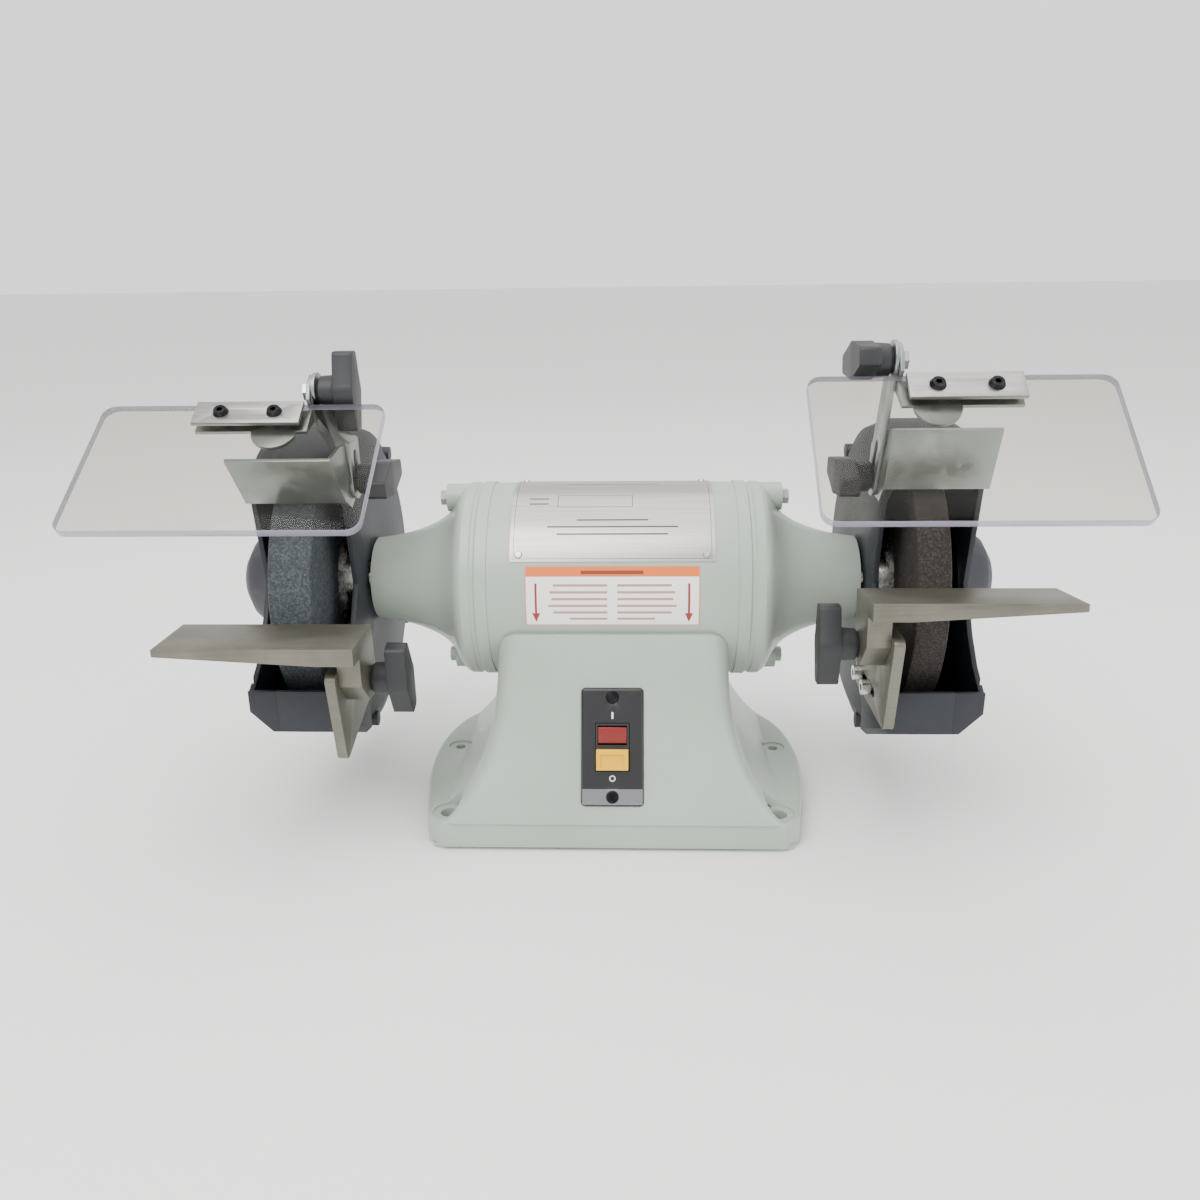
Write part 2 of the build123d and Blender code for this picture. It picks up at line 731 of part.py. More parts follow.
def make_guard():
    with BuildPart() as guard:
        add(guard_shell())
        split(bisect_by=Plane.YZ.offset(GUARD_SEAM_X - 0.05), keep=Keep.BOTTOM)
        with BuildSketch(side_plane(GUARD_X + 1)):
            with Locations(*seam_spots(0)):
                Circle(5)
        extrude(amount=GUARD_SEAM_X - GUARD_X - 1.05)
        with BuildSketch(side_plane(GUARD_X + 1)):
            with Locations(ARM_LOW):
                Circle(BOSS_R - 2)
            with Locations(*BRACKET_HOLES):
                Circle(6)
        extrude(amount=8)
        with BuildSketch(side_plane(GUARD_SEAM_X)):
            with Locations(*seam_spots(0)):
                Circle(2.05)
        extrude(amount=-22, mode=Mode.SUBTRACT)
        with BuildSketch(side_plane(GUARD_X - 1)):
            with Locations(ARM_LOW):
                Circle(STUD_R + 0.02)
            with Locations(*BRACKET_HOLES):
                Circle(2.52)
            Circle(NECK_R - 4)
        extrude(amount=12, mode=Mode.SUBTRACT)
    return guard.part


def make_cover():
    with BuildPart() as cover:
        add(guard_shell())
        split(bisect_by=Plane.YZ.offset(GUARD_SEAM_X), keep=Keep.TOP)
        with BuildSketch(side_plane(GUARD_SEAM_X)):
            with Locations(*seam_spots(0)):
                Circle(5)
        extrude(amount=GUARD_OUT_X - GUARD_SEAM_X - 5)
        # dome over the spindle end
        with BuildSketch(Plane.XZ):
            with BuildLine():
                Polyline(
                    (GUARD_OUT_X - 0.5, SPINDLE_Z),
                    (GUARD_OUT_X - 0.5, SPINDLE_Z + 41),
                    (GUARD_OUT_X, SPINDLE_Z + 41),
                    (GUARD_OUT_X + 20, SPINDLE_Z + 26),
                    (GUARD_OUT_X + 26, SPINDLE_Z + 16),
                    (GUARD_OUT_X + 28, SPINDLE_Z),
                    close=True,
                )
            make_face()
        revolve(axis=Axis((0, 0, SPINDLE_Z), (1, 0, 0)))
        with BuildSketch(Plane.XZ):
            with BuildLine():
                Polyline(
                    (GUARD_OUT_X - 4, SPINDLE_Z),
                    (GUARD_OUT_X - 4, SPINDLE_Z + 39),
                    (GUARD_OUT_X - 1.5, SPINDLE_Z + 37),
                    (GUARD_OUT_X + 18, SPINDLE_Z + 23),
                    (GUARD_OUT_X + 23.6, SPINDLE_Z + 14),
                    (GUARD_OUT_X + 25, SPINDLE_Z),
                    close=True,
                )
            make_face()
        revolve(axis=Axis((0, 0, SPINDLE_Z), (1, 0, 0)), mode=Mode.SUBTRACT)
        with BuildSketch(side_plane(GUARD_OUT_X - 9)):
            with Locations(*seam_spots(0)):
                Circle(4.1)
        extrude(amount=12, mode=Mode.SUBTRACT)
        with BuildSketch(side_plane(GUARD_SEAM_X - 1)):
            with Locations(*seam_spots(0)):
                Circle(2.2)
        extrude(amount=12, mode=Mode.SUBTRACT)
    return cover.part


with BuildPart() as right_guard:
    add(make_guard())
save(right_guard, "right_guard")

with BuildPart() as left_guard:
    add(mirror(make_guard(), about=Plane.YZ))
save(left_guard, "left_guard")

with BuildPart() as right_guard_cover:
    add(make_cover())
save(right_guard_cover, "right_guard_cover")

with BuildPart() as left_guard_cover:
    add(mirror(make_cover(), about=Plane.YZ))
save(left_guard_cover, "left_guard_cover")

with BuildPart() as guard_screws:
    for end in (1, -1):
        with BuildSketch(side_plane(end * (GUARD_OUT_X - 8.9))):
            with Locations(*seam_spots(0)):
                Circle(3.8)
        extrude(amount=end * 3.2)
        with BuildSketch(side_plane(end * (GUARD_OUT_X - 8.9))):
            with Locations(*seam_spots(0)):
                Circle(2.0)
        extrude(amount=-end * 26)
        with BuildSketch(side_plane(end * (GUARD_OUT_X - 5))):
            with Locations(*seam_spots(0)):
                RegularPolygon(2, 6)
        extrude(amount=-end * 1.8, mode=Mode.SUBTRACT)
save(guard_screws, "guard_screws")

with BuildPart() as bracket_screws:
    for end in (1, -1):
        head = end * (GUARD_X - 0.1 - BRACKET_T - 0.1)
        with BuildSketch(side_plane(head)):
            with Locations(*BRACKET_HOLES):
                Circle(4.5)
        extrude(amount=-end * 5)
        with BuildSketch(side_plane(head)):
            with Locations(*BRACKET_HOLES):
                Circle(2.5)
        extrude(amount=end * 14)
        with BuildSketch(side_plane(head - end * 5)):
            with Locations(*BRACKET_HOLES):
                RegularPolygon(2.3, 6)
        extrude(amount=end * 3, mode=Mode.SUBTRACT)
save(bracket_screws, "bracket_screws")

# Clamping stack on the guard's inner wall: arrestor flange, arm, washer, knob
FLANGE_X = GUARD_X - 0.15
ARM_X = FLANGE_X - SHEET_T - 0.15
WASHER_X = ARM_X - SHEET_T - 0.1
with BuildPart() as arm_studs:
    for end in (1, -1):
        with BuildSketch(side_plane(end * (WASHER_X - 16))):
            with Locations(ARM_LOW):
                Circle(STUD_R)
        extrude(amount=end * (GUARD_X + 9 - WASHER_X + 16))
save(arm_studs, "arm_studs")


def make_knob(face_x, spot, angle):
    """Two-lobed wing knob with its washer, pushed on from the motor side."""
    with BuildPart() as knob:
        place = side_plane(face_x)
        with BuildSketch(place):
            with Locations(spot):
                Circle(7.5)
        extrude(amount=-1.4)
        with BuildSketch(place.offset(-1.4)):
            with Locations(spot):
                Circle(KNOB_HUB_R)
        extrude(amount=-KNOB_HUB_L, taper=-4)
        with BuildSketch(place.offset(-1.4 - KNOB_HUB_L)):
            half = KNOB_SPAN / 2
            wings = [(-half, 5), (0, 10.5), (half, 5), (half, -5), (0, -10.5), (-half, -5)]
            with BuildLine():
                Polyline(*around(spot, wings, angle), close=True)
            make_face()
            with Locations(spot):
                Circle(10.5)
        extrude(amount=-KNOB_HEAD_T + 1.4)
        hub = (spot[0], SPINDLE_Z + spot[1])
        corners = knob.edges().filter_by(Axis.X).filter_by(GeomType.LINE)
        far = [e for e in corners if math.dist((e.center().Y, e.center().Z), hub) > 20]
        fillet(far, 3)
        with BuildSketch(place):
            with Locations(spot):
                Circle(STUD_R + RUN_GAP)
        extrude(amount=-18, mode=Mode.SUBTRACT)
    return knob.part


JOG_FROM = 0.46
JOG_TO = 0.62


def make_arm(top, jog):
    """Slotted arm from the stud up to the shield pivot, jogged outward by jog."""
    dy = top[0] - ARM_LOW[0]
    dz = top[1] - ARM_LOW[1]
    length = math.hypot(dy, dz)
    angle = math.degrees(math.atan2(dz, dy))
    place = Plane(
        (0, ARM_LOW[0], SPINDLE_Z + ARM_LOW[1]),
        x_dir=(0, dy / length, dz / length),
        z_dir=(1, 0, 0),
    )
    across = Plane(place.origin, x_dir=place.x_dir, z_dir=place.y_dir)
    inner = ARM_X - SHEET_T
    with BuildPart() as arm:
        with BuildSketch(across.offset(-10)):
            with BuildLine():
                Polyline(
                    (-13, -ARM_X),
                    (length * JOG_FROM, -ARM_X),
                    (length * JOG_TO, -ARM_X - jog),
                    (length + 11, -ARM_X - jog),
                    (length + 11, -inner - jog),
                    (length * JOG_TO - SHEET_T * 0.3, -inner - jog),
                    (length * JOG_FROM - SHEET_T * 0.3, -inner),
                    (-13, -inner),
                    close=True,
                )
            make_face()
        extrude(amount=20)
        with BuildSketch(place.offset(inner - 1)):
            with BuildLine():
                Polyline(
                    (-20, -20),
                    (-20, 20),
                    (length + 20, 20),
                    (length + 20, -20),
                    close=True,
                )
            make_face()
            with Locations(((length - 1) / 2, 0)):
                SlotOverall(length + 23, 20, mode=Mode.SUBTRACT)
        extrude(amount=jog + SHEET_T + 2, mode=Mode.SUBTRACT)
        with BuildSketch(place.offset(inner - 1)):
            with Locations((length * 0.14, 0)):
                SlotCenterToCenter(length * 0.28, 2 * STUD_R + 0.3)
            with Locations((length, 0)):
                Circle(STUD_R + 0.02)
        extrude(amount=jog + SHEET_T + 2, mode=Mode.SUBTRACT)
    return arm.part


ARRESTOR_TOP = (-78.0, 109.0)
ARRESTOR_LOW = (-65.0, 73.0)
ARRESTOR_RUN = (0.94, 0.341)


def make_arrestor(lean):
    with BuildPart() as arrestor:
        with BuildSketch(side_plane(FLANGE_X - SHEET_T)):
            with BuildLine():
                Polyline(
                    (ARRESTOR_TOP[0] - 0.9, ARRESTOR_TOP[1] - 0.3),
                    (-58, 105),
                    (-29, 93),
                    (-28, 80),
                    (-38, 66),
                    (-58, 63.5),
                    (ARRESTOR_LOW[0] - 0.9, ARRESTOR_LOW[1] - 0.3),
                    close=True,
                )
            make_face()
            with Locations(Location((ARM_LOW[0] + 0.94, ARM_LOW[1] + 0.34, 0), (0, 0, 19.9))):
                SlotCenterToCenter(15, 2 * STUD_R + 0.3, mode=Mode.SUBTRACT)
        extrude(amount=SHEET_T)
        with BuildSketch(side_plane(FLANGE_X - SHEET_T)):
            with BuildLine():
                Polyline(
                    ARRESTOR_TOP,
                    ARRESTOR_LOW,
                    (ARRESTOR_LOW[0] - 1.9, ARRESTOR_LOW[1] - 0.7),
                    (ARRESTOR_TOP[0] - 1.9, ARRESTOR_TOP[1] - 0.7),
                    close=True,
                )
            make_face()
        extrude(amount=GUARD_OUT_X - FLANGE_X + SHEET_T)
    turn_axis = Axis((0, ARM_LOW[0], SPINDLE_Z + ARM_LOW[1]), (1, 0, 0))
    return arrestor.part.rotate(turn_axis, lean)


# Tool rest, its slotted bracket and the pivot bolt, built around the pivot
BRACKET_X = GUARD_X - 0.1
LUG_OUT = BRACKET_X - BRACKET_T - 0.15


def make_bracket(at):
    slot_mid = (BRACKET_HOLES[0][0] + BRACKET_HOLES[1][0]) / 2 - at[0]
    slot_z = BRACKET_HOLES[0][1] - at[1]
    slot_len = BRACKET_HOLES[1][0] - BRACKET_HOLES[0][0] + 18
    with BuildPart() as bracket:
        with BuildSketch(side_plane(BRACKET_X - BRACKET_T)):
            end = slot_mid + slot_len / 2 + 6
            outline = [
                (-30, 12),
                (-19, -45),
                (end, slot_z - 11),
                (end, slot_z + 11),
                (14, 14),
                (-6, 14),
            ]
            with BuildLine():
                Polyline(*around(at, outline), close=True)
            make_face()
        extrude(amount=BRACKET_T)
        fillet(bracket.edges().filter_by(Axis.X), 4)
        with BuildSketch(side_plane(BRACKET_X - BRACKET_T - 1)):
            with Locations(at):
                Circle(STUD_R + 1.02)
            with Locations((at[0] + slot_mid, at[1] + slot_z)):
                SlotCenterToCenter(slot_len, 5.4)
        extrude(amount=BRACKET_T + 2, mode=Mode.SUBTRACT)
    return bracket.part


def make_rest_bolt(at):
    """Pivot bolt with a square neck pressed in the bracket; the lug turns on its shank."""
    with BuildPart() as bolt:
        with BuildSketch(side_plane(BRACKET_X + 0.05)):
            with Locations(at):
                Circle(8)
        extrude(amount=2.6, taper=30)
        with BuildSketch(side_plane(BRACKET_X + 0.05)):
            with Locations(at):
                Circle(STUD_R + 1)
        extrude(amount=-(BRACKET_T + LUG_T + 14))
    return bolt.part


def make_rest(at, tilt):
    bottom = REST_RISE - REST_T
    with BuildPart() as rest:
        with BuildSketch(Plane.XZ.offset(-6)):
            with BuildLine():
                Polyline(
                    (REST_X, REST_RISE),
                    (REST_X + REST_W, REST_RISE),
                    (REST_X + REST_W, REST_RISE - REST_END_T),
                    (LUG_OUT + 8, bottom),
                    (REST_X, bottom),
                    close=True,
                )
            make_face()
        extrude(amount=REST_D)
        with BuildSketch(Plane.YZ.offset(REST_X)):
            with BuildLine():
                Polyline(
                    (-24, bottom + 0.5),
                    (-24, 4),
                    (-9, -10),
                    (8, -10),
                    (8, -4),
                    (6, bottom + 0.5),
                    close=True,
                )
            make_face()
        extrude(amount=LUG_OUT - REST_X)
        fillet(rest.faces().sort_by(Axis.X)[-1].edges(), 1.2)
        with BuildSketch(Plane.YZ.offset(REST_X - 1)):
            Circle(STUD_R + 1.04)
        extrude(amount=LUG_T + 4, mode=Mode.SUBTRACT)
    with BuildPart() as placed:
        with Locations(Location((0, at[0], SPINDLE_Z + at[1]), (tilt, 0, 0))):
            add(rest.part)
    return placed.part


def make_rest_knob(at, angle):
    with BuildPart() as knob:
        add(make_knob(REST_X - 0.1, at, angle))
        with BuildSketch(side_plane(REST_X + 1)):
            with Locations(at):
                Circle(STUD_R + 1 + RUN_GAP)
        extrude(amount=-19, mode=Mode.SUBTRACT)
    return knob.part


# Eye shield: the sheet, the bent bracket under it, the clamp strip above, bolt and knob
STRIP_X = 3.0
STRIP_W = 62.0
STRIP_D = 17.5
STRIP_T = 2.4
SCREW_SPAN = 31.0


def place_shield(shape, top, slope):
    with BuildPart() as placed:
        with Locations(Location((0, top[0], SPINDLE_Z + top[1]), (slope, 0, 0))):
            add(shape)
    return placed.part


def screw_spots(ear):
    mid = ear + STRIP_X + STRIP_W / 2
    y = -SHIELD_GAP - STRIP_D / 2
    return [(mid - SCREW_SPAN / 2, y), (mid + SCREW_SPAN / 2, y)]


def make_shield(ear, inner_x):
    with BuildPart() as shield:
        with BuildSketch(Plane.XY.offset(-SHIELD_T / 2)):
            with Locations((inner_x + SHIELD_W / 2, -SHIELD_GAP - SHIELD_L / 2)):
                RectangleRounded(SHIELD_W, SHIELD_L, 8)
            with Locations(*screw_spots(ear)):
                Circle(3, mode=Mode.SUBTRACT)
        extrude(amount=SHIELD_T)
        chamfer(shield.faces().sort_by(Axis.Z)[-1].outer_wire().edges(), 0.5)
    return shield.part


def make_shield_bracket(ear):
    low = -SHIELD_T / 2 - 0.05
    with BuildPart() as bracket:
        with BuildSketch(Plane.XY.offset(low - SHEET_T)):
            with Locations((ear + (STRIP_X + STRIP_W) / 2, -SHIELD_GAP - STRIP_D / 2)):
                Rectangle(STRIP_X + STRIP_W, STRIP_D)
            with Locations((ear + 19, -SHIELD_GAP - STRIP_D)):
                Circle(13)
            with Locations((ear + 19, 12 - SHIELD_GAP)):
                Rectangle(60, 24, mode=Mode.SUBTRACT)
            with Locations((ear - 25, -30)):
                Rectangle(50, 80, mode=Mode.SUBTRACT)
            with Locations(*screw_spots(ear)):
                Circle(2.55, mode=Mode.SUBTRACT)
        extrude(amount=SHEET_T)
        with BuildSketch(Plane.YZ.offset(ear)):
            with BuildLine():
                Polyline(
                    (-SHIELD_GAP - STRIP_D, low - SHEET_T),
                    (-SHIELD_GAP + 1, low - SHEET_T - 6),
                    (3, low - SHEET_T - 6),
                    (9, -3),
                    (9, 5),
                    (4, 9.5),
                    (-5, 9.5),
                    (-SHIELD_GAP + 0.6, 5),
                    (-SHIELD_GAP + 0.6, low),
                    (-SHIELD_GAP - STRIP_D, low),
                    close=True,
                )
            make_face()
            Circle(STUD_R + 0.04, mode=Mode.SUBTRACT)
        extrude(amount=SHEET_T)
        # slot cut in the sheet's corner keeps the ear clear of the shield
        with BuildSketch(Plane.YZ.offset(ear - 1)):
            with BuildLine():
                Polyline(
                    (-SHIELD_GAP - STRIP_D - 20, low + 0.01),
                    (-SHIELD_GAP + 0.3, low + 0.01),
                    (-SHIELD_GAP + 0.3, 20),
                    (-SHIELD_GAP - STRIP_D - 20, 20),
                    close=True,
                )
            make_face()
        extrude(amount=80, mode=Mode.SUBTRACT)
    return bracket.part


def make_clamp(ear):
    with BuildPart() as clamp:
        with BuildSketch(Plane.XY.offset(SHIELD_T / 2 + 0.05)):
            with Locations((ear + STRIP_X + STRIP_W / 2, -SHIELD_GAP - STRIP_D / 2)):
                Rectangle(STRIP_W, STRIP_D)
            with Locations(*screw_spots(ear)):
                Circle(2.55, mode=Mode.SUBTRACT)
        extrude(amount=STRIP_T)
    return clamp.part


def make_clamp_screws(ear):
    top = SHIELD_T / 2 + 0.05 + STRIP_T
    with BuildPart() as screws:
        with BuildSketch(Plane.XY.offset(top)):
            with Locations(*screw_spots(ear)):
                Circle(4.6)
        extrude(amount=2.4, taper=25)
        with BuildSketch(Plane.XY.offset(top)):
            with Locations(*screw_spots(ear)):
                Circle(2.5)
        extrude(amount=-(SHIELD_T + STRIP_T + SHEET_T + 5))
        with BuildSketch(Plane.XY.offset(top - 0.2)):
            with Locations(*screw_spots(ear)):
                RegularPolygon(1.8, 6)
        extrude(amount=4, mode=Mode.SUBTRACT)
        # nut under the bracket
        with BuildSketch(Plane.XY.offset(-SHIELD_T / 2 - SHEET_T - 0.1)):
            with Locations(*screw_spots(ear)):
                RegularPolygon(4.4, 6)
        extrude(amount=-3.6)
    return screws.part


def make_shield_bolt(top, jog):
    head = ARM_X + jog + 0.1 + SHEET_T + 0.1
    with BuildPart() as bolt:
        with BuildSketch(side_plane(head)):
            with Locations(top):
                RegularPolygon(5.4, 6)
        extrude(amount=4)
        with BuildSketch(side_plane(head)):
            with Locations(top):
                Circle(STUD_R)
        extrude(amount=-(2 * SHEET_T + 17))
    return bolt.part


def flip(shape):
    return mirror(shape, about=Plane.YZ)


def keep(shape):
    return shape


SIDES = (
    (
        "right", keep, RIGHT_REST_AT, RIGHT_REST_TILT, 84, RIGHT_ARM_TOP, 0.0,
        -10, RIGHT_SHIELD_SLOPE, RIGHT_SHIELD_X, 0.0,
    ),
    (
        "left", flip, LEFT_REST_AT, LEFT_REST_TILT, 106, LEFT_ARM_TOP, LEFT_ARM_JOG,
        90, LEFT_SHIELD_SLOPE, LEFT_SHIELD_X, LEFT_ARRESTOR_LEAN,
    ),
)
for side, turn, rest_at, tilt, rest_wing, arm_top, jog, top_wing, slope, shield_x, lean in SIDES:
    ear = ARM_X + jog + 0.1
    made = {
        "rest_bracket": make_bracket(rest_at),
        "rest_bolt": make_rest_bolt(rest_at),
        "tool_rest": make_rest(rest_at, tilt),
        "rest_knob": make_rest_knob(rest_at, rest_wing),
        "spark_arrestor": make_arrestor(lean),
        "shield_arm": make_arm(arm_top, jog),
        "arm_knob": make_knob(WASHER_X, ARM_LOW, 8),
        "shield_bolt": make_shield_bolt(arm_top, jog),
        "shield_knob": make_knob(WASHER_X + jog, arm_top, top_wing),
        "shield": place_shield(make_shield(ear, shield_x), arm_top, slope),
        "shield_bracket": place_shield(make_shield_bracket(ear), arm_top, slope),
        "shield_clamp": place_shield(make_clamp(ear), arm_top, slope),
        "clamp_screws": place_shield(make_clamp_screws(ear), arm_top, slope),
    }
    for piece, shape in made.items():
        with BuildPart() as side_piece:
            add(turn(shape))
        save(side_piece, f"{side}_{piece}")
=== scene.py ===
import json
import math

import bmesh
import bpy
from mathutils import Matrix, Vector


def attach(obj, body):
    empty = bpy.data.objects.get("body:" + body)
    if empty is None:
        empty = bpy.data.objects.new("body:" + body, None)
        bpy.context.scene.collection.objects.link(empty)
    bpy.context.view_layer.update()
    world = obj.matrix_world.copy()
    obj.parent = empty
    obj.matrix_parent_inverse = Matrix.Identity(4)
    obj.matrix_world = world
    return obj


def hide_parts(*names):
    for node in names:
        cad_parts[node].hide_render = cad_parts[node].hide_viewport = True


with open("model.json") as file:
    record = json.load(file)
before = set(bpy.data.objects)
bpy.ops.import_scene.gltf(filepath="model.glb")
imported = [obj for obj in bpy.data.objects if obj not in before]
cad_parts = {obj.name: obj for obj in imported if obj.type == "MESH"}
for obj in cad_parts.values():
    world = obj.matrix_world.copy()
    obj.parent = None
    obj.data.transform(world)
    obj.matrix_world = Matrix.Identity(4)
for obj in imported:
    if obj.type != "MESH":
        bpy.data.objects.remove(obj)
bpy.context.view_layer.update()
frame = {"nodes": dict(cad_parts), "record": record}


def colour(hex_text):
    """sRGB hex text to a linear RGBA tuple."""
    out = []
    for i in (0, 2, 4):
        c = int(hex_text[i:i + 2], 16) / 255
        out.append(c / 12.92 if c <= 0.04045 else ((c + 0.055) / 1.055) ** 2.4)
    return (*out, 1.0)


def put(mat, kind, settings=(), links=()):
    """Adds a node, sets its sockets or properties, and links other outputs into it."""
    node = mat.node_tree.nodes.new(kind)
    for name, value in dict(settings).items():
        if isinstance(name, str) and hasattr(node, name):
            setattr(node, name, value)
        else:
            node.inputs[name].default_value = value
    for name, source in dict(links).items():
        mat.node_tree.links.new(source, node.inputs[name])
    return node


def ramp(mat, source, stops):
    node = put(mat, "ShaderNodeValToRGB", {}, {"Fac": source})
    node.color_ramp.elements[0].position, node.color_ramp.elements[0].color = stops[0]
    node.color_ramp.elements[1].position, node.color_ramp.elements[1].color = stops[-1]
    for position, value in stops[1:-1]:
        node.color_ramp.elements.new(position).color = value
    return node.outputs["Color"]


def grey(level):
    return (level, level, level, 1)


def finish_of(name, base, rough, metal=0.0, coat=0.0):
    """A named material: its Principled node, and Object coordinates to drive its marks."""
    mat = bpy.data.materials.new(name)
    mat.use_nodes = True
    shader = mat.node_tree.nodes["Principled BSDF"]
    shader.inputs["Base Color"].default_value = colour(base)
    shader.inputs["Roughness"].default_value = rough
    shader.inputs["Metallic"].default_value = metal
    shader.inputs["Coat Weight"].default_value = coat
    place = put(mat, "ShaderNodeTexCoord").outputs["Object"]
    return mat, shader, place


def join(mat, source, shader, socket):
    mat.node_tree.links.new(source, shader.inputs[socket])


def bump(mat, shader, height, strength, distance):
    node = put(mat, "ShaderNodeBump", {"Strength": strength, "Distance": distance}, {"Height": height})
    join(mat, node.outputs["Normal"], shader, "Normal")


def dress(mat, *names):
    for name in names:
        obj = frame["nodes"][name]
        obj.data.materials.clear()
        obj.data.materials.append(mat)


# ---------------------------------------------------------------- body enamel
# Light grey-green enamel over castings: a faint orange-peel skin and slow drifts in tone.
enamel, shader, place = finish_of("grey_green_enamel", "A3AEA3", 0.38, coat=0.25)
drift = put(enamel, "ShaderNodeTexNoise", {"Scale": 9.0, "Detail": 3.0}, {"Vector": place})
skin = put(enamel, "ShaderNodeTexNoise", {"Scale": 520.0, "Detail": 2.0}, {"Vector": place})
tone = ramp(enamel, drift.outputs["Fac"], [(0.3, colour("9DA89D")), (0.7, colour("A8B3A8"))])
sheen = ramp(enamel, skin.outputs["Fac"], [(0.3, grey(0.33)), (0.7, grey(0.45))])
join(enamel, tone, shader, "Base Color")
join(enamel, sheen, shader, "Roughness")
bump(enamel, shader, skin.outputs["Fac"], 0.12, 0.0004)
dress(enamel, "base", "motor_housing", "left_end_bell", "right_end_bell")

# ---------------------------------------------------------------- guard paint
# Navy-black powder coat: fine pebble texture and grey scuffs.
coat, shader, place = finish_of("navy_powder_coat", "171A22", 0.55)
pebble = put(coat, "ShaderNodeTexNoise", {"Scale": 900.0, "Detail": 2.0}, {"Vector": place})
scuff = put(coat, "ShaderNodeTexNoise", {"Scale": 26.0, "Detail": 8.0, "Roughness": 0.7}, {"Vector": place})
stops = [(0.35, colour("14171F")), (0.62, colour("1B1F29")), (0.8, colour("262B38"))]
join(coat, ramp(coat, scuff.outputs["Fac"], stops), shader, "Base Color")
bump(coat, shader, pebble.outputs["Fac"], 0.25, 0.0003)
dress(coat, "left_guard", "right_guard", "left_guard_cover", "right_guard_cover")

# ---------------------------------------------------------------- tool rests and brackets
# Warm grey blasted steel with long grinding marks along the table and darker patches.
steel, shader, place = finish_of("blasted_steel", "8B877A", 0.42, metal=0.75)
grain_map = put(steel, "ShaderNodeMapping", {"Scale": (9.0, 260.0, 260.0)}, {"Vector": place})
grain_place = grain_map.outputs["Vector"]
grain = put(steel, "ShaderNodeTexNoise", {"Scale": 4.0, "Detail": 6.0}, {"Vector": grain_place})
patch = put(steel, "ShaderNodeTexNoise", {"Scale": 38.0, "Detail": 5.0}, {"Vector": place})
tone = ramp(steel, patch.outputs["Fac"], [(0.3, colour("6C6A60")), (0.7, colour("807C72"))])
streak = ramp(steel, grain.outputs["Fac"], [(0.3, grey(0.82)), (0.7, grey(1))])
multiply = {"data_type": "RGBA", "blend_type": "MULTIPLY", 0: 1.0}
mixed = put(steel, "ShaderNodeMix", multiply, {6: tone, 7: streak})
sheen = ramp(steel, grain.outputs["Fac"], [(0.3, grey(0.36)), (0.7, grey(0.52))])
join(steel, mixed.outputs[2], shader, "Base Color")
join(steel, sheen, shader, "Roughness")
bump(steel, shader, grain.outputs["Fac"], 0.15, 0.0003)
dress(steel, "left_tool_rest", "right_tool_rest", "left_rest_bracket", "right_rest_bracket")

# ---------------------------------------------------------------- zinc-plated sheet
# Cool bright zinc with soft spangles, for arms, arrestors, shield brackets and bottom plate.
zinc, shader, place = finish_of("zinc_plate", "A9AFAD", 0.34, metal=0.85)
spangle = put(zinc, "ShaderNodeTexVoronoi", {"Scale": 150.0}, {"Vector": place})
cloud = put(zinc, "ShaderNodeTexNoise", {"Scale": 30.0, "Detail": 4.0}, {"Vector": place})
tone = ramp(zinc, cloud.outputs["Fac"], [(0.3, colour("858B89")), (0.7, colour("A0A6A3"))])
sheen = ramp(zinc, spangle.outputs["Color"], [(0.2, grey(0.28)), (0.8, grey(0.44))])
join(zinc, tone, shader, "Base Color")
join(zinc, sheen, shader, "Roughness")
dress(
    zinc, "left_shield_arm", "right_shield_arm", "left_spark_arrestor", "right_spark_arrestor",
    "left_shield_bracket", "right_shield_bracket", "base_cover",
)

# ---------------------------------------------------------------- clamp strips
# Brushed steel bars, brushed along their length.
brushed, shader, place = finish_of("brushed_steel", "A3A19D", 0.32, metal=0.9)
lines_map = put(brushed, "ShaderNodeMapping", {"Scale": (6.0, 700.0, 700.0)}, {"Vector": place})
lines_place = lines_map.outputs["Vector"]
lines = put(brushed, "ShaderNodeTexNoise", {"Scale": 3.0, "Detail": 5.0}, {"Vector": lines_place})
tone = ramp(brushed, lines.outputs["Fac"], [(0.3, colour("8F8D89")), (0.7, colour("B5B3AF"))])
join(brushed, tone, shader, "Base Color")
bump(brushed, shader, lines.outputs["Fac"], 0.1, 0.0002)
dress(brushed, "left_shield_clamp", "right_shield_clamp")

# ---------------------------------------------------------------- bright and black fasteners
# Bright zinc for bolts, studs and spindle parts; black oxide for the clamp and switch screws.
bright, shader, place = finish_of("bright_zinc_steel", "C9C9C5", 0.25, metal=1.0)
fine = put(bright, "ShaderNodeTexNoise", {"Scale": 240.0, "Detail": 3.0}, {"Vector": place})
join(bright, ramp(bright, fine.outputs["Fac"], [(0.3, grey(0.2)), (0.7, grey(0.34))]), shader, "Roughness")
dress(
    bright, "base_cover_screws", "guard_screws", "bracket_screws", "arm_studs", "left_rest_bolt",
    "right_rest_bolt", "left_shield_bolt", "right_shield_bolt", "wheel_flanges", "spindle_nuts", "shaft",
    "bearing_inner_rings", "bearing_outer_rings", "nameplate_rivets",
)
oxide, shader, place = finish_of("black_oxide_steel", "1B1B1D", 0.36, metal=0.8)
worn = put(oxide, "ShaderNodeTexNoise", {"Scale": 300.0, "Detail": 4.0}, {"Vector": place})
tone = ramp(oxide, worn.outputs["Fac"], [(0.45, colour("17171A")), (0.8, colour("3A3A3E"))])
join(oxide, tone, shader, "Base Color")
dress(oxide, "switch_screws", "left_clamp_screws", "right_clamp_screws")
dress(enamel, "end_bell_bolts")

